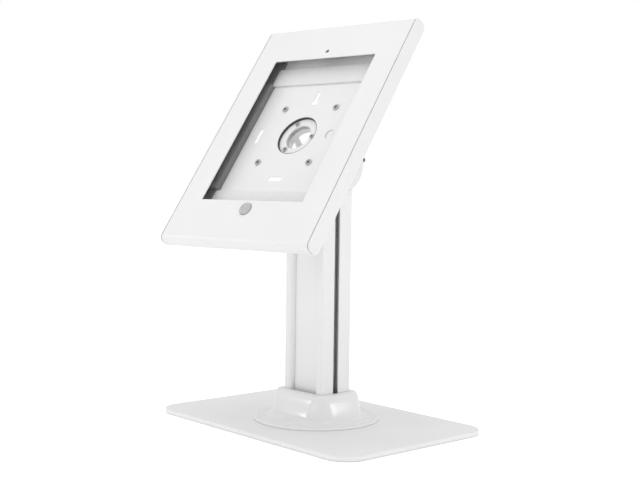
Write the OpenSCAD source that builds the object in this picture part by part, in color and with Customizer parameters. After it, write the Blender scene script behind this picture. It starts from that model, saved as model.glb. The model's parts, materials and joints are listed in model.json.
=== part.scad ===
/* [Base] */
// Width of the base plate
base_w = 326; // [280:2:380]
// Depth of the base plate
base_d = 214; // [190:2:260]
// Corner radius of the base plate
base_corner_r = 27; // [15:1:40]
// Thickness of the steel base plate
base_t = 4.5; // [4:0.5:8]
// Radius of the round flange of the base cover
cover_flange_r = 71; // [66:1:80]
// Height of the base cover above the floor
cover_top_z = 37.6; // [34:0.2:46]

/* [Pole] */
// Width of the pole across the front
pole_w = 62.8; // [60:0.2:72]
// Depth of the pole from front to back
pole_d = 43.4; // [42:0.2:50]
// Height of the top of the pole above the floor
pole_top_z = 256.5; // [220:0.5:256.5]
// Depth of the recess down the front of the pole
pole_recess = 5.8; // [4:0.2:6]

/* [Head] */
// Turn of the head on the pole, as stored
swivel_angle = 7.6; // [-20:0.2:20]
// Lean of the enclosure back from upright, as stored
lean = 35.7; // [20:0.1:60]
// Distance from the tilt axle to the front of the enclosure
axle_to_face = 64.5; // [62:0.5:75]
// Radius of the round cover over the tilt clutch
clutch_cover_r = 33; // [28:1:33]

/* [Enclosure] */
// Width of the enclosure
case_w = 217; // [205:1:240]
// Height of the enclosure
case_h = 302; // [296:1:320]
// Thickness of the enclosure
case_t = 18; // [18:0.5:22]
// Width of the screen window
window_w = 148; // [140:1:156]
// Height of the screen window
window_h = 197.5; // [190:0.5:206]
// Radius of the bends at the top and bottom of the front cover
bend_r = 7; // [5:0.5:8]
// Thickness of the sheet steel of the enclosure
sheet_t = 1.2; // [1:0.1:1.5]
// Gap between the front cover and the side walls
side_gap = 0.8; // [0.3:0.1:0.9]

/* [Hidden] */
$fn = 64;

white = "whitesmoke";
running_gap = 0.06;
cut = 0.5;

// Base
pad_t = 0.8;
pad_inset = 6;
plate_top_z = pad_t + base_t;
cable_hole_r = 13;
bolt_circle_r = 50;
bolt_hole_r = 3.25;
cover_flange_t = 1.8;
cover_ring_r = cover_flange_r - 3;
cover_ring_t = 2.6;

// Pole
pole_corner_r = 1.5;
pole_wall = 2.5;
recess_edge_x = pole_w / 2 - 6;
recess_half_w = recess_edge_x - pole_recess;
panel_gap = 0.3;
panel_t = 2.4;
slot_w = 7.2;
slot_lip = 1.5;
slot_groove_w = 14;
slot_groove_d = 6;
port_r = 2.1;
port_x = pole_w / 2 - 6.6;
port_y = pole_d / 2 - 6.6;
inner_w = pole_w - 2 * (slot_lip + slot_groove_d + pole_wall);
cap_t = 4.5;
cap_top_z = pole_top_z + cap_t;

// Swivel on the top of the pole
tube_r = 9;
tube_bore_r = 6.6;
washer_t = 0.6;
yoke_z = cap_top_z + washer_t;
yoke_t = 4.2;
yoke_top_z = yoke_z + yoke_t;
swivel_nut_t = 5;
tube_len = yoke_top_z + swivel_nut_t + 3 - pole_top_z + 10;

// Tilt yoke, bracket and axle, measured from the tilt axle
tilt_z = 294.5;
hub_rise = 2.5;
axle_r = 5;
arm_x = 22;
arm_t = 4;
arm_washer_t = 0.8;
ear_x = arm_x + arm_t + arm_washer_t + 0.2;
ear_t = 4;
ear_r = 16;
ear_out = ear_x + ear_t;
clutch_cover_w = 5.2;
clutch_wall = 1.4;
clutch_gap = 0.3;
lock_screw_r = 2.5;
lock_screw_angle = 4;
boss_r = 9.5;
bar_w = 6.5;
web_half_h = 17.5;

// Depths behind the front face of the enclosure
plate_y = case_t - sheet_t;
vesa_t = 6;
vesa_back_y = case_t + vesa_t;
disc_y = case_t + 1.7;
disc_t = 2;
disc_back_y = disc_y + disc_t;
hub_gap = 0.3;
web_y = vesa_back_y + hub_gap + 1;
web_t = 6.5;
web_back_y = web_y + web_t;

// Enclosure
hub_hole_r = 25.5;
wear_ring_t = 0.5;
disc_r = 24.8;
hub_r = 22.8;
hub_bore_r = 16;
hub_screw_circle_r = 20;
vesa_pitch = 75;
vesa_w = 96;
vesa_h = 88;
window_rise = 1.4;
camera_rise = 110;
camera_r = 2.4;
gasket_half_w = 14;
button_rise = -108.5;
button_r = 7.2;
lip_v = case_h / 2 - 15;
casing_v = lip_v - 2.2;
cover_half_w = case_w / 2 - sheet_t - side_gap;
pad_strip_h = 25;
pad_strip_t = 2.7;
pad_strip_v = 75;
pad_half_w = window_w / 2 + 3;
foam_t = 7.2;
foam_low_t = 3;
foam_in = window_w / 2;
foam_out = foam_in + 18;
foam_v = 112;
hinge_y = case_t / 2;
hinge_v = -(case_h / 2 - case_t / 2);
pin_r = 2;
lug_w = 1.5;
lug_x = cover_half_w - 5;
lock_u = 70;
lock_v = 127;
plug_r = 4;
barrel_r = 5.5;
cam_y = 7.9;
cam_t = 1.5;
barrel_front_y = cam_y + cam_t + 0.1;
cam_len = 14;
striker_y = cam_y + cam_t + 0.8;

// ---------- frames ----------

// Turned with the head about the pole
module head_frame() {
    rotate([0, 0, swivel_angle]) children();
}

// Leaning frame on the tilt axle: x across, y backwards, z up the enclosure
module tilt_frame() {
    head_frame() translate([0, 0, tilt_z]) rotate([-lean, 0, 0]) children();
}

// Leaning frame in the middle of the front face: y is the depth behind the face
module case_frame() {
    tilt_frame() translate([0, -axle_to_face, -hub_rise]) children();
}

// The same, but centred on the hub
module hub_frame() {
    tilt_frame() translate([0, -axle_to_face, 0]) children();
}

// ---------- shapes ----------

// Rectangle with round corners
module round_rect(w, h, r) {
    square([w - 2 * r, h], center = true);
    square([w, h - 2 * r], center = true);
    for (x = [-1, 1], y = [-1, 1])
        translate([x * (w / 2 - r), y * (h / 2 - r)]) circle(r);
}

// Slot with round ends along x
module slot_2d(length, width) {
    square([length - width, width], center = true);
    for (x = [-1, 1]) translate([x * (length - width) / 2, 0]) circle(width / 2);
}

// A flat outline drawn in x and z, from depth y0 to y1
module layer(y0, y1) {
    translate([0, y1, 0]) rotate([90, 0, 0]) linear_extrude(y1 - y0) children();
}

// A round bar along y, from depth y0 to y1
module rod_y(y0, y1, r) {
    layer(y0, y1) circle(r);
}

// A round bar along x, from x0 to x1
module rod_x(x0, x1, r) {
    translate([x0, 0, 0]) rotate([0, 90, 0]) cylinder(h = x1 - x0, r = r);
}

// An outline drawn in y and z, from x0 to x1
module side_layer(x0, x1) {
    translate([x0, 0, 0]) rotate([90, 0, 90]) linear_extrude(x1 - x0) children();
}

// Four copies at the corners of a rectangle in x and z
module at_corners(dx, dz) {
    for (x = [-1, 1], z = [-1, 1]) translate([x * dx, 0, z * dz]) children();
}

// Pan-head screw along y, head at the front, with a socket
module screw_y(y, head_r, head_t, shank_r, length, socket_r) {
    difference() {
        rod_y(y - head_t, y, head_r);
        rod_y(y - head_t - cut, y - 0.4 * head_t, socket_r);
    }
    rod_y(y - 0.01, y + length, shank_r);
}

// ---------- base ----------

module base_foam_pad() {
    color("dimgray")
        difference() {
            linear_extrude(pad_t)
                round_rect(base_w - 2 * pad_inset, base_d - 2 * pad_inset, base_corner_r - pad_inset);
            translate([0, 0, -cut]) cylinder(h = pad_t + 2 * cut, r = cable_hole_r);
            bolt_places() translate([0, 0, -cut]) cylinder(h = pad_t + 2 * cut, r = bolt_hole_r);
            port_places() translate([0, 0, -cut]) cylinder(h = pad_t + 2 * cut, r = port_r + 3);
        }
}

// The four places where the base is bolted to a counter, under the base cover
module bolt_places() {
    for (a = [45:90:315]) rotate(a) translate([bolt_circle_r, 0, 0]) children();
}

// The four screw ports in the corners of the pole
module port_places() {
    for (x = [-1, 1], y = [-1, 1]) translate([x * port_x, y * port_y, 0]) children();
}

module base_plate() {
    color(white)
        difference() {
            translate([0, 0, pad_t]) linear_extrude(base_t) round_rect(base_w, base_d, base_corner_r);
            cylinder(h = plate_top_z + cut, r = cable_hole_r);
            bolt_places() cylinder(h = plate_top_z + cut, r = bolt_hole_r);
            port_places() {
                cylinder(h = plate_top_z + cut, r = port_r + 0.6);
                translate([0, 0, pad_t - cut]) cylinder(h = 2.6 + cut, r = port_r + 2.6);
            }
        }
}

// One thin cross-section of the base cover: the pole's outline grown by margin,
// with its corners rounded by more than that
module cover_section(z, margin, rounding) {
    translate([0, 0, z])
        linear_extrude(0.1)
            round_rect(pole_w + 2 * margin, pole_d + 2 * margin, pole_corner_r + margin + rounding, $fn = 32);
}

// The collar of the base cover, from its rim down: drop, margin around the pole, extra rounding
collar_steps = [[0, 6.8, 1], [2.2, 9.6, 2], [11, 13.4, 5], [24, 17.8, 7.5], [28.6, 22, 8]];
saucer_t = 2.4;

module collar_step(i) {
    step = collar_steps[i];
    cover_section(cover_top_z - 0.1 - step[0], step[1], step[2]);
}

module cover_outside() {
    last = len(collar_steps) - 1;
    for (i = [0 : last - 1])
        hull() {
            collar_step(i);
            collar_step(i + 1);
        }
    hull() {
        collar_step(last);
        translate([0, 0, plate_top_z]) cylinder(h = saucer_t, r = cover_ring_r - 4, $fn = 64);
    }
    translate([0, 0, plate_top_z]) cylinder(h = cover_flange_t, r = cover_flange_r);
    translate([0, 0, plate_top_z])
        rotate_extrude() translate([cover_ring_r, 0]) intersection() {
            circle(cover_ring_t);
            translate([-cover_ring_t, 0]) square([2 * cover_ring_t, cover_ring_t]);
        }
}

module base_cover() {
    color(white)
        difference() {
            cover_outside();
            hull() {
                translate([0, 0, plate_top_z - cut]) cylinder(h = 0.1, r = cover_ring_r - 7, $fn = 32);
                cover_section(cover_top_z - 27, 15, 7);
            }
            hull() {
                cover_section(cover_top_z - 27.1, 15, 7);
                cover_section(cover_top_z - 3.4, 6.4, 1);
            }
            translate([0, 0, plate_top_z])
                linear_extrude(cover_top_z)
                    round_rect(pole_w + 0.6, pole_d + 0.6, pole_corner_r + 0.3);
        }
}

// ---------- pole ----------

// Outline of the pole, with a recess between two round-nosed posts at the front
module pole_outline() {
    recess_floor_y = -pole_d / 2 + pole_recess;
    difference() {
        round_rect(pole_w, pole_d, pole_corner_r);
        difference() {
            translate([-recess_edge_x, -pole_d / 2 - cut])
                square([2 * recess_edge_x, pole_recess + cut]);
            for (side = [-1, 1])
                translate([side * recess_edge_x, recess_floor_y]) circle(pole_recess);
        }
        translate([-recess_half_w - 1, recess_floor_y - 0.01])
            square([2 * recess_half_w + 2, panel_t + 0.01]);
    }
}

module pole_section() {
    inner_back_y = pole_d / 2 - pole_wall;
    inner_front_y = -pole_d / 2 + pole_recess + panel_t + pole_wall;
    difference() {
        pole_outline();
        translate([-inner_w / 2, inner_front_y]) square([inner_w, inner_back_y - inner_front_y]);
        for (side = [-1, 1]) {
            translate([side * pole_w / 2, 0]) square([2 * slot_lip + 0.1, slot_w], center = true);
            translate([side * (pole_w / 2 - slot_lip - slot_groove_d / 2), 0])
                square([slot_groove_d, slot_groove_w], center = true);
        }
        for (x = [-1, 1], y = [-1, 1])
            translate([x * port_x, y * port_y]) circle(port_r);
    }
}

module pole() {
    color(white)
        translate([0, 0, plate_top_z]) linear_extrude(pole_top_z - plate_top_z) pole_section();
}

// The strip that snaps into the recess and hides the cable
module pole_front_panel() {
    panel_w = 2 * (recess_half_w + 1 - panel_gap);
    color(white)
        translate([0, -pole_d / 2 + pole_recess + panel_t / 2, cover_top_z - 12])
            linear_extrude(pole_top_z - cover_top_z + 12) round_rect(panel_w, panel_t, 0.8);
}

module pole_foot_screws() {
    color("silver")
        port_places() {
            translate([0, 0, pad_t]) cylinder(h = 2.5, r = port_r + 2.4);
            translate([0, 0, pad_t + 2.4]) cylinder(h = 20, r = port_r - 0.05);
        }
}

module pole_top_cap() {
    color(white)
        difference() {
            union() {
                translate([0, 0, pole_top_z]) linear_extrude(cap_t) round_rect(pole_w, pole_d, pole_corner_r);
                translate([0, 2.6, pole_top_z - 6])
                    linear_extrude(6.1) square([inner_w - 0.6, 22], center = true);
            }
            translate([0, 0, pole_top_z - 6 - cut]) cylinder(h = 20, r = tube_r + 0.05);
            port_places() {
                translate([0, 0, pole_top_z - cut]) cylinder(h = 20, r = port_r + 0.6);
                translate([0, 0, cap_top_z - 2.4]) cylinder(h = 5, r = port_r + 2.6);
            }
        }
}

module top_cap_screws() {
    color("silver")
        port_places() {
            translate([0, 0, cap_top_z - 2.4]) cylinder(h = 2.2, r = port_r + 2.4);
            translate([0, 0, cap_top_z - 16]) cylinder(h = 14, r = port_r - 0.05);
        }
}

// ---------- swivel ----------

// Hollow bolt that the head turns on; the cable runs up through it
module swivel_tube() {
    color("silver")
        difference() {
            union() {
                translate([0, 0, pole_top_z - 10]) cylinder(h = tube_len, r = tube_r);
                translate([0, 0, pole_top_z - 10]) cylinder(h = 3.6, r = 12, $fn = 6);
            }
            translate([0, 0, pole_top_z - 11]) cylinder(h = tube_len + 2, r = tube_bore_r);
        }
}

module swivel_washer() {
    color("gainsboro")
        translate([0, 0, cap_top_z])
            difference() {
                cylinder(h = washer_t - 0.15, r = 20);
                translate([0, 0, -cut]) cylinder(h = 3, r = tube_r + 0.1);
            }
}

module swivel_nut() {
    color("silver")
        translate([0, 0, yoke_top_z + 0.3])
            difference() {
                cylinder(h = swivel_nut_t, r = 14.5, $fn = 6);
                translate([0, 0, -cut]) cylinder(h = 8, r = tube_r + 0.05);
            }
}

// ---------- tilt head ----------

module tilt_yoke() {
    ear_foot = yoke_top_z - tilt_z;
    color(white)
        head_frame() {
            translate([0, 0, yoke_z])
                linear_extrude(yoke_t)
                    difference() {
                        round_rect(pole_w - 0.4, pole_d - 0.4, pole_corner_r);
                        circle(tube_r + running_gap);
                    }
            translate([0, 0, tilt_z])
                for (x = [-ear_out, ear_x])
                    side_layer(x, x + ear_t)
                        difference() {
                            union() {
                                circle(ear_r);
                                translate([-ear_r, ear_foot]) square([2 * ear_r, -ear_foot]);
                            }
                            circle(axle_r + 0.02);
                        }
        }
}

module tilt_axle() {
    color("silver")
        head_frame() translate([0, 0, tilt_z]) {
            rod_x(-ear_out - 2.4, ear_out + 3.6, axle_r);
            rod_x(-ear_out - 2.4, -ear_out, 8);
        }
}

module axle_end_cap() {
    color(white)
        head_frame() translate([0, 0, tilt_z])
            difference() {
                rod_x(-ear_out - 4.2, -ear_out, 11);
                rod_x(-ear_out - 2.7, -ear_out + cut, 8.3);
            }
}

module axle_nut() {
    color("silver")
        head_frame() translate([ear_out + 1.4, 0, tilt_z]) rotate([0, 90, 0])
            difference() {
                cylinder(h = 2.2, r = 9, $fn = 6);
                translate([0, 0, -cut]) cylinder(h = 4, r = axle_r + 0.02);
            }
}

// Friction plates under the round cover
module clutch_plates() {
    color("gray")
        head_frame() translate([0, 0, tilt_z])
            for (i = [0, 1])
                difference() {
                    rod_x(ear_out + 0.65 * i, ear_out + 0.65 * i + 0.6, 15 - i);
                    rod_x(ear_out - cut, ear_out + 3, axle_r + 0.05);
                }
}

// Thin washers between the yoke's ears and the bracket's arms
module arm_washers() {
    color("dimgray")
        head_frame() translate([0, 0, tilt_z])
            for (side = [-1, 1])
                translate([side * (ear_x - arm_washer_t / 2), 0, 0])
                    difference() {
                        rod_x(-arm_washer_t / 2, arm_washer_t / 2, 8.5);
                        rod_x(-2, 2, axle_r + 0.05);
                    }
}

module clutch_cover() {
    color(white)
        head_frame() translate([0, 0, tilt_z])
            difference() {
                rod_x(ear_out + clutch_gap, ear_out + clutch_cover_w, clutch_cover_r);
                difference() {
                    rod_x(ear_out + clutch_gap - cut, ear_out + clutch_cover_w - clutch_wall,
                          clutch_cover_r - clutch_wall);
                    lock_screw_boss();
                }
                lock_screw_place() cylinder(h = 40, r = lock_screw_r + 0.02);
            }
}

module lock_screw_place() {
    translate([ear_out + clutch_cover_w / 2, 0, 0])
        rotate([-90 + lock_screw_angle, 0, 0]) translate([0, 0, clutch_cover_r - 8]) children();
}

module lock_screw_boss() {
    translate([ear_out, 0, 0])
        rotate([lock_screw_angle, 0, 0])
            translate([0, clutch_cover_r - 8, -5]) cube([clutch_cover_w, 8, 10]);
}

// Set screw at the back of the clutch cover, which fixes the tilt
module tilt_lock_screw() {
    color("black")
        head_frame() translate([0, 0, tilt_z])
            lock_screw_place()
                difference() {
                    cylinder(h = 12, r = lock_screw_r);
                    translate([0, 0, 9.6]) cylinder(h = 4, r = 1.4, $fn = 6);
                }
}

// Half of an arm's outline above the axle's level: from the web to the boss
module arm_outline(inset) {
    tip = boss_r - inset;
    root = web_half_h - inset;
    start = web_back_y - axle_to_face - 0.5;
    polygon([[start, -root], [-2.6, -tip * 0.96], [-2.6, tip * 0.96], [start, root]]);
}

module tilt_bracket() {
    color(white)
        tilt_frame() {
            translate([0, -axle_to_face, 0])
                difference() {
                    layer(web_y, web_back_y) round_rect(62, 58, 8);
                    rod_y(web_y - cut, web_back_y + cut, hub_bore_r);
                    hub_screw_places() rod_y(web_y - cut, web_back_y + cut, 1.55);
                }
            for (x = [-arm_x - arm_t, arm_x])
                side_layer(x, x + arm_t)
                    difference() {
                        union() {
                            arm_outline(0);
                            circle(boss_r);
                        }
                        intersection() {
                            arm_outline(bar_w);
                            translate([-40, -20]) square([28, 40]);
                        }
                        circle(axle_r + running_gap);
                    }
        }
}

// ---------- rotating hub ----------

module hub_screw_places() {
    for (a = [0:120:240])
        translate([hub_screw_circle_r * cos(a), 0, hub_screw_circle_r * sin(a)]) children();
}

module rotation_hub() {
    color("silver")
        hub_frame()
            difference() {
                rod_y(disc_back_y, web_y, hub_r);
                rod_y(disc_back_y - cut, web_y + cut, hub_bore_r);
                hub_screw_places() rod_y(disc_back_y - cut, web_y + cut, 1.55);
            }
}

module hub_disc() {
    color(white)
        hub_frame()
            difference() {
                rod_y(disc_y, disc_back_y, disc_r);
                rod_y(disc_y - cut, disc_back_y + cut, hub_bore_r);
                hub_screw_places() rod_y(disc_y - cut, disc_back_y + cut, 1.7);
            }
}

module hub_screws() {
    color("gray")
        hub_frame() hub_screw_places() screw_y(disc_y, 2.7, 1.5, 1.5, 8, 1.3);
}

module rotation_washer() {
    color("dimgray")
        hub_frame()
            difference() {
                rod_y(web_y - 1, web_y, 30);
                rod_y(web_y - 1 - cut, web_y + cut, hub_r + 0.5);
            }
}

// ---------- enclosure ----------

module vesa_plate() {
    color(white)
        hub_frame()
            difference() {
                layer(case_t, vesa_back_y) round_rect(vesa_w, vesa_h, 8);
                rod_y(case_t - cut, disc_back_y + hub_gap, hub_hole_r);
                rod_y(case_t - cut, vesa_back_y + cut, hub_r + running_gap);
                at_corners(vesa_pitch / 2, vesa_pitch / 2) rod_y(case_t - cut, vesa_back_y + cut, 2.05);
            }
}

// Nylon ring that lines the recess the hub disc turns in
module hub_wear_ring() {
    floor_t = hub_gap - 0.1;
    color("dimgray")
        hub_frame()
            difference() {
                rod_y(plate_y, disc_back_y + hub_gap, hub_hole_r);
                rod_y(plate_y - cut, disc_back_y + hub_gap - floor_t, hub_hole_r - wear_ring_t);
                rod_y(plate_y - cut, vesa_back_y, hub_r + 0.3);
            }
}

module vesa_screws() {
    color("gray")
        hub_frame() at_corners(vesa_pitch / 2, vesa_pitch / 2) screw_y(plate_y, 3.7, 1.6, 2, 6.5, 1.7);
}

// Outline of the enclosure from the side: depth and height
module case_side() {
    translate([case_t / 2, 0]) round_rect(case_t, case_h, bend_r);
}

// Keyhole for hanging the casing on a wall screw
module keyhole() {
    translate([1, 46]) circle(5);
    translate([1, 53]) slot_upright(18, 5);
}

module slot_upright(length, width) {
    rotate(90) slot_2d(length, width);
}

module casing_holes() {
    circle(hub_hole_r);
    keyhole();
    translate([-58.3, 0]) slot_upright(20.5, 5.6);
    translate([0, -59.5]) slot_2d(20.5, 6);
    translate([47.3, 0.3]) circle(6.3);
    for (x = [-1, 1], y = [-1, 1])
        translate([x * vesa_pitch / 2, y * vesa_pitch / 2]) circle(2.6);
}

module rear_casing() {
    color(white)
        case_frame() {
            difference() {
                layer(plate_y, case_t) square([case_w, 2 * casing_v], center = true);
                translate([0, 0, hub_rise]) layer(plate_y - cut, case_t + cut) casing_holes();
                translate([lock_u, 0, lock_v]) rod_y(plate_y - cut, case_t + cut, barrel_r + 0.05);
            }
            for (x = [-case_w / 2, case_w / 2 - sheet_t]) side_layer(x, x + sheet_t) case_side();
        }
}

module pad_strip(v) {
    translate([0, 0, v])
        layer(plate_y - pad_strip_t, plate_y) square([2 * pad_half_w, pad_strip_h], center = true);
}

module top_pad() {
    color("lightgray") case_frame() pad_strip(pad_strip_v + pad_strip_h / 2);
}

module bottom_pad() {
    color("lightgray") case_frame() pad_strip(-pad_strip_v - pad_strip_h / 2);
}

// Upright rectangle at the side of the tray, from u0 outwards, over v0 to v1
module foam_block(side, u0, v0, v1, thick) {
    translate([side * (u0 + foam_out) / 2, 0, 0])
        layer(plate_y - thick, plate_y)
            translate([-(foam_out - u0) / 2, v0]) square([foam_out - u0, v1 - v0]);
}

// Side foam: thick beside the tablet, thinner past the pads at both ends
module foam_strip(side) {
    pad_end = pad_strip_v + pad_strip_h;
    color("dimgray")
        case_frame() {
            foam_block(side, foam_in, -pad_strip_v + 0.4, pad_strip_v - 0.4, foam_t);
            foam_block(side, pad_half_w + 0.4, -foam_v, foam_v, foam_low_t);
            for (v0 = [-foam_v, pad_end + 0.4])
                foam_block(side, foam_in, v0, v0 + foam_v - pad_end - 0.4, foam_low_t);
        }
}

module left_foam_strip() {
    foam_strip(-1);
}

module right_foam_strip() {
    foam_strip(1);
}

// Short pins on the side walls that the front cover turns on
module hinge_pins() {
    inner_x = case_w / 2 - sheet_t;
    color("silver")
        case_frame()
            translate([0, hinge_y, hinge_v]) {
                rod_x(-inner_x, -lug_x + 1, pin_r);
                rod_x(lug_x - 1, inner_x, pin_r);
            }
}

// ---------- lock ----------

module lock_frame() {
    case_frame() translate([lock_u, 0, lock_v]) children();
}

module lock_barrel() {
    color("silver")
        lock_frame()
            difference() {
                union() {
                    rod_y(barrel_front_y, case_t, barrel_r);
                    rod_y(case_t, case_t + 2, 8);
                }
                rod_y(barrel_front_y - cut, case_t + 2 + cut, plug_r + running_gap);
            }
}

module lock_nut() {
    color("silver")
        lock_frame()
            difference() {
                translate([0, plate_y - 0.05, 0]) rotate([90, 0, 0]) cylinder(h = 2.4, r = 8, $fn = 6);
                rod_y(plate_y - 4, plate_y + cut, barrel_r + 0.05);
            }
}

module lock_plug() {
    color("gainsboro")
        lock_frame()
            difference() {
                rod_y(cam_y + cam_t, case_t + 2.4, plug_r);
                translate([0, case_t + 1.4, 0]) cube([1.2, 4, 5], center = true);
                rod_y(cam_y, cam_y + cam_t + 5, 1.25);
            }
}

// Arm that catches the striker; it points sideways when the lock is open
module lock_cam() {
    color("silver")
        lock_frame()
            layer(cam_y, cam_y + cam_t)
                difference() {
                    union() {
                        circle(4.2);
                        translate([cam_len / 2 - 2, 0]) slot_2d(cam_len + 4, 8);
                    }
                    circle(1.3);
                }
}

module lock_cam_screw() {
    color("silver") lock_frame() screw_y(cam_y, 2.4, 1.3, 1.2, 5, 1);
}

// ---------- front cover ----------

module cover_inside() {
    translate([case_t / 2, 0]) round_rect(case_t - 2 * sheet_t, case_h - 2 * sheet_t, bend_r - sheet_t);
}

// Sheet wrapped round the top and the bottom, open at the back
module cover_sheet() {
    difference() {
        case_side();
        cover_inside();
        translate([case_t - 2 * sheet_t, -lip_v]) square([3 * sheet_t, 2 * lip_v]);
    }
}

module front_cover() {
    color(white)
        case_frame()
            difference() {
                side_layer(-cover_half_w, cover_half_w) cover_sheet();
                layer(-cut, sheet_t + cut) {
                    translate([0, window_rise]) square([window_w, window_h], center = true);
                    translate([0, camera_rise]) circle(camera_r);
                    translate([0, button_rise]) circle(button_r + 0.3);
                }
            }
}

// Thin dark foam glued inside the cover, round the camera hole
module camera_gasket() {
    low = window_rise + window_h / 2 + 0.4;
    high = case_h / 2 - bend_r - 18;
    color("dimgray")
        case_frame()
            difference() {
                translate([0, 0, (low + high) / 2])
                    layer(sheet_t, sheet_t + 1.5) square([2 * gasket_half_w, high - low], center = true);
                translate([0, 0, camera_rise]) rod_y(0, sheet_t + 3, camera_r - 0.8);
            }
}

// Ears inside the bottom bend, with the holes for the hinge pins
module hinge_lugs() {
    color("silver")
        case_frame()
            for (x = [-lug_x - lug_w, lug_x])
                side_layer(x, x + lug_w)
                    difference() {
                        intersection() {
                            translate([hinge_y - 4.5, -case_h / 2]) square([9, case_t / 2 + 5]);
                            cover_inside();
                        }
                        translate([hinge_y, hinge_v]) circle(pin_r + running_gap);
                    }
}

// Tab welded inside the top of the front cover, which the lock's cam holds
module lock_striker() {
    low = lip_v;
    high = case_h / 2 - sheet_t;
    color("silver")
        case_frame()
            translate([lock_u, 0, (low + high) / 2])
                layer(striker_y, striker_y + 1.2) square([20, high - low], center = true);
}

module home_button() {
    color("silver")
        case_frame()
            translate([0, 0, button_rise])
                difference() {
                    union() {
                        rod_y(-1.6, sheet_t + 0.3, button_r);
                        rod_y(sheet_t + 0.3, sheet_t + 0.9, button_r + 1.8);
                    }
                    rod_y(-2, -1.2, button_r - 1.6);
                }
}

base_foam_pad();
base_plate();
base_cover();
pole();
pole_front_panel();
pole_foot_screws();
pole_top_cap();
top_cap_screws();
swivel_tube();
swivel_washer();
swivel_nut();
tilt_yoke();
tilt_axle();
axle_end_cap();
axle_nut();
clutch_plates();
arm_washers();
clutch_cover();
tilt_lock_screw();
tilt_bracket();
rotation_hub();
hub_disc();
hub_screws();
rotation_washer();
vesa_plate();
hub_wear_ring();
vesa_screws();
rear_casing();
top_pad();
bottom_pad();
left_foam_strip();
right_foam_strip();
hinge_pins();
lock_barrel();
lock_nut();
lock_plug();
lock_cam();
lock_cam_screw();
front_cover();
camera_gasket();
hinge_lugs();
lock_striker();
home_button();
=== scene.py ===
"""Looks of the tablet stand: materials, moulded and foam pieces, light and camera around the CAD frame."""
import json
import math

import bmesh
import bpy
from mathutils import Matrix, Vector, noise


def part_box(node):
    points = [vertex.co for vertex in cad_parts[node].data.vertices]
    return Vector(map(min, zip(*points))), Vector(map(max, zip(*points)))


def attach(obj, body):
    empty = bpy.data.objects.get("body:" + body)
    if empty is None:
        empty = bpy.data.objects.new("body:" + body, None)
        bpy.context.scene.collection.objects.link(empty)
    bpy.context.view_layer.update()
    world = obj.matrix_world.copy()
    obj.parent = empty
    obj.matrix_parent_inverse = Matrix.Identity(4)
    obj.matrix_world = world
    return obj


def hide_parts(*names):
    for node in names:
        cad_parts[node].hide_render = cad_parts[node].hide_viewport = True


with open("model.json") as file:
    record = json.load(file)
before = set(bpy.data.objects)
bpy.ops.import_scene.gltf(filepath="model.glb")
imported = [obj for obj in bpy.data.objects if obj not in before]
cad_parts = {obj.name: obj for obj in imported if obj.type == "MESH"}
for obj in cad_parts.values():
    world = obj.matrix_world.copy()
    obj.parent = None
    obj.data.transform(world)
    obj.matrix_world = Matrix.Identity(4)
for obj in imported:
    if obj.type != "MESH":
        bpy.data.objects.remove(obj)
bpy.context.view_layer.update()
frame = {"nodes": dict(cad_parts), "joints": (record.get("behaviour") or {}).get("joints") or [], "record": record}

MM = 0.001
MERGE = 0.002 * MM
Z_AXIS = Vector((0, 0, 1))

# ---------- the frame ----------

RECORD = frame["record"]
SLOT_OF_NODE = {part["node"]: part["material_slot"] for part in RECORD["subparts"]}
BODY_OF_NODE = {node: body for body, nodes in RECORD["behaviour"]["bodies"].items() for node in nodes}
AXIS_OF_JOINT = {joint["name"]: Vector(joint["axis"]).normalized() for joint in frame["joints"]}
ACROSS = AXIS_OF_JOINT["tilt"]
BEHIND = AXIS_OF_JOINT["hub_rotation"]
UP_FACE = ACROSS.cross(BEHIND)


def low_high(node):
    """Lowest and highest corner of a CAD node."""
    low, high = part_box(node)
    return Vector(low), Vector(high)


def span(node, direction):
    """Lowest and highest reach of a CAD node along any direction."""
    reach = [direction.dot(vert.co) for vert in frame["nodes"][node].data.vertices]
    return min(reach), max(reach)


def frame_matrix(origin, x, y, z):
    """Matrix that takes local x, y, z to three directions, from an origin."""
    turn = Matrix((x, y, z)).transposed().to_4x4()
    return Matrix.Translation(origin) @ turn


def face_frame():
    """Frame in the middle of the enclosure's face: x across, y the depth behind the face, z up the face."""
    across, depth, rise = (span("front_cover", axis) for axis in (ACROSS, BEHIND, UP_FACE))
    origin = ACROSS * sum(across) / 2 + BEHIND * depth[0] + UP_FACE * sum(rise) / 2
    return frame_matrix(origin, ACROSS, BEHIND, UP_FACE)


FACE = face_frame()

# ---------- material nodes ----------


def grey(level, blue=0.0):
    """Grey of one level, or a cooler grey with a little more blue."""
    return (level, level, level + blue)


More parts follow.
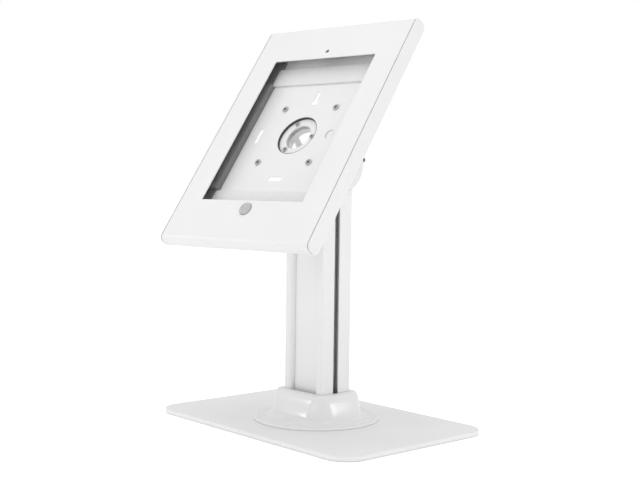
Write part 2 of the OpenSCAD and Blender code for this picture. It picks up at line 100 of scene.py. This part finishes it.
class Shader:
    """A node material with one Principled shader and short helpers to wire it."""

    def __init__(self, name, color, roughness, metallic=0.0):
        self.material = bpy.data.materials.new(name)
        self.material.use_nodes = True
        self.tree = self.material.node_tree
        self.bsdf = self.tree.nodes["Principled BSDF"]
        self.set("Base Color", (*color, 1.0))
        self.set("Roughness", roughness)
        self.set("Metallic", metallic)
        self.color = color
        self.roughness = roughness
        self.place = self.tree.nodes.new("ShaderNodeTexCoord").outputs["Object"]

    def set(self, socket, value):
        self.bsdf.inputs[socket].default_value = value

    def link(self, output, socket):
        self.tree.links.new(output, socket)

    def noise(self, size, detail=2.0, stretch=(1, 1, 1)):
        """Noise with features of a real size in metres."""
        mapping = self.tree.nodes.new("ShaderNodeMapping")
        mapping.inputs["Scale"].default_value = [part / size for part in stretch]
        self.link(self.place, mapping.inputs["Vector"])
        texture = self.tree.nodes.new("ShaderNodeTexNoise")
        texture.inputs["Scale"].default_value = 1.0
        texture.inputs["Detail"].default_value = detail
        self.link(mapping.outputs["Vector"], texture.inputs["Vector"])
        return texture.outputs["Fac"]

    def range(self, value, low, high, start=0.3, end=0.7):
        """Maps start..end of a value to low..high."""
        node = self.tree.nodes.new("ShaderNodeMapRange")
        node.inputs["From Min"].default_value = start
        node.inputs["From Max"].default_value = end
        node.inputs["To Min"].default_value = low
        node.inputs["To Max"].default_value = high
        self.link(value, node.inputs["Value"])
        return node.outputs["Result"]

    def edges(self, radius, sharp=0.8, flat=0.99):
        """Mask that is 1 on edges and 0 on flat stretches, by how far a rounded normal leans."""
        bevel = self.tree.nodes.new("ShaderNodeBevel")
        bevel.samples = 4
        bevel.inputs["Radius"].default_value = radius
        geometry = self.tree.nodes.new("ShaderNodeNewGeometry")
        dot = self.tree.nodes.new("ShaderNodeVectorMath")
        dot.operation = "DOT_PRODUCT"
        self.link(bevel.outputs["Normal"], dot.inputs[0])
        self.link(geometry.outputs["Normal"], dot.inputs[1])
        return self.range(dot.outputs["Value"], 1.0, 0.0, sharp, flat)

    def crevices(self, reach, closed=0.25, open_enough=0.5):
        """Mask that is 1 where a gap leaves little open space within a reach in metres, used for painted shade."""
        space = self.tree.nodes.new("ShaderNodeAmbientOcclusion")
        space.samples = 8
        space.inputs["Distance"].default_value = reach
        return self.range(space.outputs["AO"], 1.0, 0.0, closed, open_enough)

    def tint(self, mask, color, amount=1.0, under=None):
        """Mixes a second colour in where the mask is 1, over the colour so far."""
        mix = self.tree.nodes.new("ShaderNodeMix")
        mix.data_type = "RGBA"
        mix.inputs["A"].default_value = (*self.color, 1.0)
        mix.inputs["B"].default_value = (*color, 1.0)
        if under is not None:
            self.link(under, mix.inputs["A"])
        self.link(self.range(mask, 0.0, amount, 0.0, 1.0), mix.inputs["Factor"])
        self.link(mix.outputs["Result"], self.bsdf.inputs["Base Color"])
        return mix.outputs["Result"]

    def rough(self, value, spread):
        """Varies the roughness round its own value."""
        low, high = self.roughness - spread, self.roughness + spread
        self.link(self.range(value, low, high), self.bsdf.inputs["Roughness"])

    def bump(self, height, depth, strength=1.0, under=None):
        """Adds relief of a real depth in metres."""
        node = self.tree.nodes.new("ShaderNodeBump")
        node.inputs["Distance"].default_value = depth
        node.inputs["Strength"].default_value = strength
        self.link(height, node.inputs["Height"])
        if under is not None:
            self.link(under, node.inputs["Normal"])
        self.link(node.outputs["Normal"], self.bsdf.inputs["Normal"])
        return node.outputs["Normal"]


# ---------- materials ----------


def powder_coat(name, reach, amount):
    """Baked white powder coat: fine orange peel, rubbed edges, and shade in gaps up to a reach in metres."""
    coat = Shader(name, grey(0.87), 0.38)
    coat.set("Coat Weight", 0.15)
    coat.set("Coat Roughness", 0.25)
    shade = coat.tint(coat.range(coat.noise(90 * MM), 0.0, 1.0), (0.84, 0.842, 0.845))
    shade = coat.tint(coat.edges(0.5 * MM), grey(0.76), 0.5, under=shade)
    # Painted shade: near-black mixed into the coat where ambient occlusion finds a narrow gap or slot.
    coat.tint(coat.crevices(reach), grey(0.05), amount, under=shade)
    coat.rough(coat.noise(20 * MM), 0.05)
    peel = coat.bump(coat.noise(1.6 * MM, 1.0), 0.012 * MM)
    coat.bump(coat.noise(0.35 * MM, 1.0), 0.004 * MM, under=peel)
    return coat.material


def white_powder_coat():
    return powder_coat("white_powder_coat", 3 * MM, 0.75)


def slotted_powder_coat():
    """The pole's coat, with more shade than the other, because its deep side slots look nearly black."""
    return powder_coat("slotted_powder_coat", 14 * MM, 0.9)


def white_gloss_plastic():
    """Polished moulded plastic with a soft waviness."""
    plastic = Shader("white_gloss_plastic", grey(0.86), 0.16)
    plastic.set("IOR", 1.5)
    shade = plastic.tint(plastic.range(plastic.noise(50 * MM), 0.0, 1.0), grey(0.83, 0.005))
    plastic.tint(plastic.edges(0.4 * MM), grey(0.78), 0.4, under=shade)
    plastic.rough(plastic.noise(12 * MM), 0.04)
    wave = plastic.bump(plastic.noise(30 * MM, 0.0), 0.05 * MM)
    plastic.bump(plastic.noise(1.2 * MM, 1.0), 0.002 * MM, under=wave)
    return plastic.material


def brushed_metal(name, color, roughness, grain=(1, 1, 12), stain=0.82, shine=1.25):
    """Steel with a fine drawn grain, stained a little, brighter on its edges."""
    steel = Shader(name, color, roughness, metallic=1.0)
    dull = tuple(part * stain for part in color)
    bright = tuple(part * shine for part in color)
    shade = steel.tint(steel.range(steel.noise(6 * MM), 0.0, 1.0), dull)
    steel.tint(steel.edges(0.35 * MM), bright, 0.7, under=shade)
    steel.rough(steel.noise(3 * MM), 0.07)
    steel.bump(steel.noise(0.8 * MM, 2.0, grain), 0.01 * MM)
    return steel.material


def zinc_steel():
    return brushed_metal("zinc_steel", grey(0.60, 0.01), 0.34)


def bright_hub_steel():
    return brushed_metal("bright_hub_steel", grey(0.62), 0.42, (1, 8, 1))


def black_oxide_steel():
    return brushed_metal("black_oxide_steel", grey(0.16, 0.005), 0.42, (1, 1, 1))


def satin_button():
    """Satin grey metal disc with a faint even grain."""
    button = Shader("satin_button", grey(0.66, 0.005), 0.36, metallic=0.75)
    shade = button.tint(button.range(button.noise(4 * MM), 0.0, 1.0), grey(0.60, 0.005))
    button.tint(button.edges(0.6 * MM), grey(0.45), 0.8, under=shade)
    button.rough(button.noise(2 * MM), 0.05)
    button.bump(button.noise(0.25 * MM, 2.0), 0.006 * MM)
    return button.material


def dark_rubber():
    """Dense friction material with a matt speckle."""
    rubber = Shader("dark_rubber", grey(0.055, 0.003), 0.72)
    shade = rubber.tint(rubber.range(rubber.noise(0.7 * MM), 0.0, 1.0), grey(0.10))
    rubber.tint(rubber.edges(0.4 * MM), grey(0.14), 0.5, under=shade)
    rubber.rough(rubber.noise(2 * MM), 0.08)
    rubber.bump(rubber.noise(0.5 * MM, 3.0), 0.03 * MM)
    return rubber.material


def foam(name, color, deep, cell):
    """Closed-cell foam: open pits of the cell size with painted shade in them, soft sheen."""
    pores = Shader(name, color, 0.9)
    pores.set("Sheen Weight", 0.25)
    pores.set("Sheen Roughness", 0.5)
    texture = pores.tree.nodes.new("ShaderNodeTexVoronoi")
    texture.inputs["Scale"].default_value = 1.0 / cell
    pores.link(pores.place, texture.inputs["Vector"])
    pits = texture.outputs["Distance"]
    # Painted shade: the foam is darker in its pits.
    shade = pores.tint(pores.range(pits, 1.0, 0.0, 0.1, 0.5), deep, 0.7)
    pores.tint(pores.range(pores.noise(20 * MM), 0.0, 1.0), deep, 0.35, under=shade)
    pores.rough(pores.noise(10 * MM), 0.05)
    soft = pores.bump(pores.noise(4 * MM), 0.15 * MM)
    pores.bump(pits, 0.12 * MM, under=soft)
    return pores.material


def dark_foam():
    return foam("dark_foam", grey(0.25, 0.002), grey(0.15), 0.9 * MM)


def light_foam():
    return foam("light_foam", grey(0.84), grey(0.74), 1.0 * MM)


MATERIALS = {
    make.__name__: make()
    for make in (
        white_powder_coat, slotted_powder_coat, white_gloss_plastic, zinc_steel, bright_hub_steel,
        black_oxide_steel, dark_rubber, dark_foam, light_foam, satin_button,
    )
}

# ---------- CAD nodes ----------

EDGE_ROUND = {
    "base_plate": 1.4 * MM,
    "pole": 0.35 * MM,
    "pole_front_panel": 0.3 * MM,
    "clutch_cover": 1.1 * MM,
    "axle_end_cap": 0.8 * MM,
    "vesa_plate": 0.6 * MM,
    "tilt_yoke": 0.6 * MM,
    "tilt_bracket": 0.5 * MM,
    "home_button": 0.5 * MM,
    "lock_barrel": 0.4 * MM,
}
PLAIN_EDGE = 0.22 * MM
FINISH_OF_NODE = {**SLOT_OF_NODE, "pole": "slotted_powder_coat"}


def soften(piece, width):
    """Rounds the edges of a CAD piece by modifiers, which leave its mesh alone."""
    weld = piece.modifiers.new("weld", "WELD")
    weld.merge_threshold = MERGE
    flats = piece.modifiers.new("flats", "DECIMATE")
    flats.decimate_type = "DISSOLVE"
    flats.angle_limit = math.radians(0.3)
    bevel = piece.modifiers.new("edges", "BEVEL")
    bevel.width = width
    bevel.segments = 3
    bevel.limit_method = "ANGLE"
    bevel.angle_limit = math.radians(40)
    piece.modifiers.new("normals", "WEIGHTED_NORMAL")


def dress(piece, finish):
    """Gives a piece its only material."""
    piece.data.materials.clear()
    piece.data.materials.append(MATERIALS[finish])


for cad_node, cad_finish in FINISH_OF_NODE.items():
    dress(frame["nodes"][cad_node], cad_finish)
    soften(frame["nodes"][cad_node], EDGE_ROUND.get(cad_node, PLAIN_EDGE))

# ---------- mesh helpers ----------


def cad_copy(node):
    """Copy of a CAD node's mesh, with the points that its faces share merged."""
    copy = bmesh.new()
    copy.from_mesh(frame["nodes"][node].data)
    bmesh.ops.remove_doubles(copy, verts=copy.verts, dist=MERGE)
    return copy


def add_object(name, skin):
    """Turns a bmesh into an object of the scene."""
    mesh = bpy.data.meshes.new(name)
    skin.to_mesh(mesh)
    skin.free()
    added = bpy.data.objects.new(name, mesh)
    bpy.context.collection.objects.link(added)
    return added


def new_piece(name, skin, slot, body, smooth=True):
    """Adds a piece of the stand that rides on a body."""
    piece = add_object(name, skin)
    for polygon in piece.data.polygons:
        polygon.use_smooth = smooth
    dress(piece, slot)
    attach(piece, body)
    return piece


def loft(loops):
    """Skins a list of loops of equal length with quads."""
    skin = bmesh.new()
    rings = [[skin.verts.new(point) for point in loop] for loop in loops]
    for lower, upper in zip(rings, rings[1:]):
        for i in range(len(lower)):
            j = (i + 1) % len(lower)
            skin.faces.new((lower[i], lower[j], upper[j], upper[i]))
    bmesh.ops.recalc_face_normals(skin, faces=skin.faces)
    return skin


def rect_loop(half_w, half_d, corner, z, steps=14):
    """Rectangle with round corners, as points of four equal arcs."""
    points = []
    for quarter in range(4):
        middle = math.radians(45 + 90 * quarter)
        x = math.copysign(half_w - corner, math.cos(middle))
        y = math.copysign(half_d - corner, math.sin(middle))
        for step in range(steps + 1):
            angle = math.radians(90 * (quarter + step / steps))
            points.append(Vector((x + corner * math.cos(angle), y + corner * math.sin(angle), z)))
    return points


# ---------- screw sockets and their painted shade ---


def separate_solids(skin):
    """Points of each separate solid of a mesh. A solid's list grows by its neighbours while it is walked."""
    solids = []
    seen = set()
    for first in skin.verts:
        if first in seen:
            continue
        solid = [first]
        seen.add(first)
        for vert in solid:
            around = [edge.other_vert(vert) for edge in vert.link_edges]
            fresh = [other for other in around if other not in seen]
            seen.update(fresh)
            solid += fresh
        solids.append([vert.co.copy() for vert in solid])
    return solids


def screw_heads(node):
    """Middle of the front of each screw of a CAD node, in the face's frame."""
    screws = cad_copy(node)
    screws.transform(FACE.inverted())
    heads = []
    for points in separate_solids(screws):
        across, _, rise = ((min(values) + max(values)) / 2 for values in zip(*points))
        front = min(point.y for point in points)
        heads.append(Vector((across, front, rise)))
    screws.free()
    return heads


def painted_socket_shade(node, radius, sink):
    """Dark hexagon with a security pin, sunk in the head of each screw of a CAD node: painted shade in each
    socket's hollow.
    """
    hexagon = (6, radius, 0.2 * MM)
    pin = (16, 0.32 * radius, 1.0 * MM)
    facing = Matrix.Rotation(math.radians(90), 4, "X")
    skin = bmesh.new()
    for head in screw_heads(node):
        place = FACE @ Matrix.Translation(head + Vector((0, sink, 0))) @ facing
        for sides, size, height in (hexagon, pin):
            bmesh.ops.create_cone(
                skin, cap_ends=True, segments=sides, radius1=size, radius2=size, depth=height, matrix=place
            )
    name = node.removesuffix("s") + "_sockets"
    new_piece(name, skin, "black_oxide_steel", BODY_OF_NODE[node], smooth=False)


# Painted shade: dark sheets sunk in the sockets of the screw heads.
painted_socket_shade("vesa_screws", radius=1.7 * MM, sink=0.85 * MM)
painted_socket_shade("hub_screws", radius=1.3 * MM, sink=0.8 * MM)

# ---------- base cover ----------

# The base cover's section, in millimetres, from the lip over the block and back along the inside.
# A ring is (inset from the lip, rise from the foot).
# A collar is (margin round the pole, drop from the top, rounding added to the pole's own corner).
POLE_CORNER = 1.5
LIP_RINGS = [(0.3, 0.0), (0.0, 0.3), (0.0, 1.1), (0.4, 1.9), (1.2, 2.5), (2.4, 2.8), (3.4, 2.7)]
# The saucer's sections lie between a ring and a collar (margin, rounding), and rise towards the block.
SAUCER_SHARES = [0.96, 0.75, 0.5, 0.25]
SAUCER_RISE = 2.4
SAUCER_SWELL = 1.1
SAUCER_RING_INSET = 4.0
SAUCER_COLLAR = (23.0, 12.0)
BLOCK_COLLARS = [
    (22.6, 28.5, 11.5), (20.4, 27.8, 10.6), (18.7, 26.2, 9.6), (17.4, 24.0, 8.4), (15.2, 17.8, 6.6),
    (13.3, 11.0, 5.0), (11.9, 6.4, 3.6), (10.6, 3.6, 2.6), (9.6, 2.0, 2.2), (8.5, 0.9, 1.8),
    (7.2, 0.2, 1.2), (5.8, 0.0, 0.8),
]
RIM_COLLARS = [(1.4, 0.0, 0.0), (0.6, 0.1, 0.0), (0.3, 0.5, 0.0), (0.3, 3.4, 0.0)]
INSIDE_COLLARS = [(6.4, 4.2, 1.0), (11.0, 12.0, 4.0), (15.0, 26.0, 7.0)]
INSIDE_RINGS = [(9.0, 1.2), (3.0, 0.0)]


def base_cover():
    """Moulded cover: round saucer with a soft lip, and a block with a rounded rim round the pole's foot."""
    low, high = low_high("base_cover")
    pole_half = low_high("pole")[1]

    def ring(inset, rise):
        radius = high.x - inset * MM
        return rect_loop(radius, radius, radius, low.z + rise * MM)

    def collar(margin, drop, rounding):
        grown = margin * MM
        corner = (POLE_CORNER + margin + rounding) * MM
        return rect_loop(pole_half.x + grown, pole_half.y + grown, corner, high.z - drop * MM)

    def saucer(share):
        """A section part of the way from the block's foot to the ring inside the lip."""
        rise = SAUCER_RISE + SAUCER_SWELL * (1 - share) ** 2
        margin, rounding = SAUCER_COLLAR
        foot = collar(margin, (high.z - low.z) / MM - rise, rounding)
        return [start.lerp(end, share) for start, end in zip(foot, ring(SAUCER_RING_INSET, rise))]

    lip = [ring(*step) for step in LIP_RINGS]
    top = [saucer(share) for share in SAUCER_SHARES]
    block = [collar(*step) for step in BLOCK_COLLARS + RIM_COLLARS + INSIDE_COLLARS]
    inside = [ring(*step) for step in INSIDE_RINGS]
    skin = loft([*lip, *top, *block, *inside, lip[0]])
    slot, body = SLOT_OF_NODE["base_cover"], BODY_OF_NODE["base_cover"]
    piece = new_piece("base_cover_moulding", skin, slot, body)
    weld = piece.modifiers.new("weld", "WELD")
    weld.merge_threshold = 0.01 * MM
    smooth = piece.modifiers.new("smooth", "SUBSURF")
    smooth.levels = 1
    smooth.render_levels = 1
    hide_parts("base_cover")


base_cover()

# ---------- foam ----------

WAVE_SIZE = 14 * MM
WAVE_SINK = 0.6
CUT_ROUNDS = 5


def triangulate_large(solid):
    """Splits the faces with more than four corners."""
    bmesh.ops.triangulate(solid, faces=[face for face in solid.faces if len(face.verts) > 4])


def round_edges(solid, width):
    """Takes the sharp edges off a solid."""
    sharp = math.radians(40)
    edges = [edge for edge in solid.edges if len(edge.link_faces) == 2 and edge.calc_face_angle() > sharp]
    bmesh.ops.bevel(solid, geom=edges, offset=width, segments=3, profile=0.6, affect="EDGES")
    triangulate_large(solid)


def refine(solid, cell):
    """Cuts a solid's faces until hardly any edge is longer than a cell."""
    for _ in range(CUT_ROUNDS):
        long_edges = [edge for edge in solid.edges if edge.calc_length() > cell]
        if not long_edges:
            return
        bmesh.ops.subdivide_edges(solid, edges=long_edges, cuts=1, use_grid_fill=True)
        triangulate_large(solid)


def foam_piece(node, edge, swell, axis=BEHIND, cell=4 * MM):
    """Foam cut from sheet: the CAD solid's outline with soft edges and a slightly uneven face."""
    solid = cad_copy(node)
    bmesh.ops.dissolve_limit(solid, angle_limit=math.radians(1), verts=solid.verts, edges=solid.edges)
    round_edges(solid, edge)
    refine(solid, cell)
    solid.normal_update()
    for vert in solid.verts:
        lift = noise.noise(vert.co / WAVE_SIZE) - WAVE_SINK
        vert.co += axis * (vert.normal.dot(axis) * lift * swell)
    piece = new_piece(node + "_foam", solid, SLOT_OF_NODE[node], BODY_OF_NODE[node])
    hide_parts(node)


for pad in ("top_pad", "bottom_pad"):
    foam_piece(pad, edge=0.5 * MM, swell=0.25 * MM)
for strip in ("left_foam_strip", "right_foam_strip"):
    foam_piece(strip, edge=0.8 * MM, swell=0.3 * MM)
foam_piece("camera_gasket", edge=0.2 * MM, swell=0.1 * MM)
foam_piece("base_foam_pad", edge=0.15 * MM, swell=0.0, axis=Z_AXIS, cell=12 * MM)

# ---------- stage ----------

WHITE = (1.0, 1.0, 1.0, 1.0)
FLOOR_HALF = 30.0
LIT_POINT = Vector((0.0, 0.0, 0.2))


def seen_or_lit(tree, seen, lit):
    """Strength with one value where the camera looks straight at it, and another for light that bounces."""
    rays = tree.nodes.new("ShaderNodeLightPath")
    strength = tree.nodes.new("ShaderNodeMapRange")
    strength.inputs["To Min"].default_value = lit
    strength.inputs["To Max"].default_value = seen
    tree.links.new(rays.outputs["Is Camera Ray"], strength.inputs["Value"])
    return strength.outputs["Result"]


def floor():
    """Pale floor, far wider than the view, a little brighter where the camera sees it."""
    sheet = bmesh.new()
    bmesh.ops.create_grid(sheet, x_segments=1, y_segments=1, size=FLOOR_HALF)
    ground = add_object("floor", sheet)
    paint = Shader("pale_floor", grey(0.93), 0.9)
    paint.set("Emission Color", WHITE)
    paint.link(seen_or_lit(paint.tree, seen=0.42, lit=0.1), paint.bsdf.inputs["Emission Strength"])
    ground.data.materials.append(paint.material)


def surroundings():
    """White room: plain white where the camera sees it, a little dimmer as a light."""
    world = bpy.data.worlds.new("studio")
    world.use_nodes = True
    background = world.node_tree.nodes["Background"]
    background.inputs["Color"].default_value = WHITE
    strength = seen_or_lit(world.node_tree, seen=1.0, lit=0.73)
    world.node_tree.links.new(strength, background.inputs["Strength"])
    bpy.context.scene.world = world


def soft_box(name, place, width, height, power):
    """Rectangular studio light that looks at the middle of the stand."""
    light = bpy.data.lights.new(name, "AREA")
    light.shape = "RECTANGLE"
    light.size = width
    light.size_y = height
    light.energy = power
    lamp = bpy.data.objects.new(name, light)
    lamp.location = place
    lamp.rotation_euler = (LIT_POINT - Vector(place)).to_track_quat("-Z", "Y").to_euler()
    bpy.context.collection.objects.link(lamp)


def lights():
    """Broad light from the front and from above, and two small boxes for the glints on the base cover."""
    soft_box("front_box", place=(0.3, -2.4, 0.27), width=2.0, height=0.5, power=4.0)
    soft_box("top_box", place=(0.0, -0.4, 2.8), width=2.4, height=2.4, power=20.0)
    soft_box("left_box", place=(-1.25, -1.45, 0.6), width=0.5, height=0.25, power=2.6)
    soft_box("right_box", place=(1.68, 1.02, 0.4), width=0.7, height=0.35, power=5.0)


# ---------- camera ----------

# The view was solved from the photograph's straight edges. Angles are in degrees, lengths in metres, and the
# focal length and the lens's centre in pixels of a 640 x 480 picture.
VIEW_AZIMUTH = 47.94
VIEW_HEIGHT = 1.38
VIEW_ROLL = 0.79
VIEW_DISTANCE = 1.2299
VIEW_TARGET = Vector((0.02356, 0.0, 0.23881))
SENSOR_WIDTH = 36.0
FOCAL_PIXELS = 1107.2
PICTURE_W = 640
PICTURE_H = 480
CENTRE_X = 333.1
CENTRE_Y = 211.6


def camera():
    """Camera at the photograph's angle, distance and focal length."""
    azimuth, height, roll = (math.radians(part) for part in (VIEW_AZIMUTH, VIEW_HEIGHT, VIEW_ROLL))
    back = Vector((
        math.sin(azimuth) * math.cos(height),
        -math.cos(azimuth) * math.cos(height),
        math.sin(height),
    ))
    right = (-back).cross(Z_AXIS).normalized()
    up = right.cross(-back)
    rolled_right = right * math.cos(roll) + up * math.sin(roll)
    rolled_up = up * math.cos(roll) - right * math.sin(roll)
    lens = bpy.data.cameras.new("camera")
    lens.sensor_width = SENSOR_WIDTH
    lens.lens = FOCAL_PIXELS * SENSOR_WIDTH / PICTURE_W
    lens.shift_x = (PICTURE_W / 2 - CENTRE_X) / PICTURE_W
    lens.shift_y = (CENTRE_Y - PICTURE_H / 2) / PICTURE_W
    lens.clip_end = 100.0
    shooter = bpy.data.objects.new("camera", lens)
    shooter.matrix_world = frame_matrix(VIEW_TARGET + back * VIEW_DISTANCE, rolled_right, rolled_up, back)
    bpy.context.collection.objects.link(shooter)
    bpy.context.scene.camera = shooter


floor()
surroundings()
lights()
camera()
bpy.context.scene.view_settings.view_transform = "Standard"
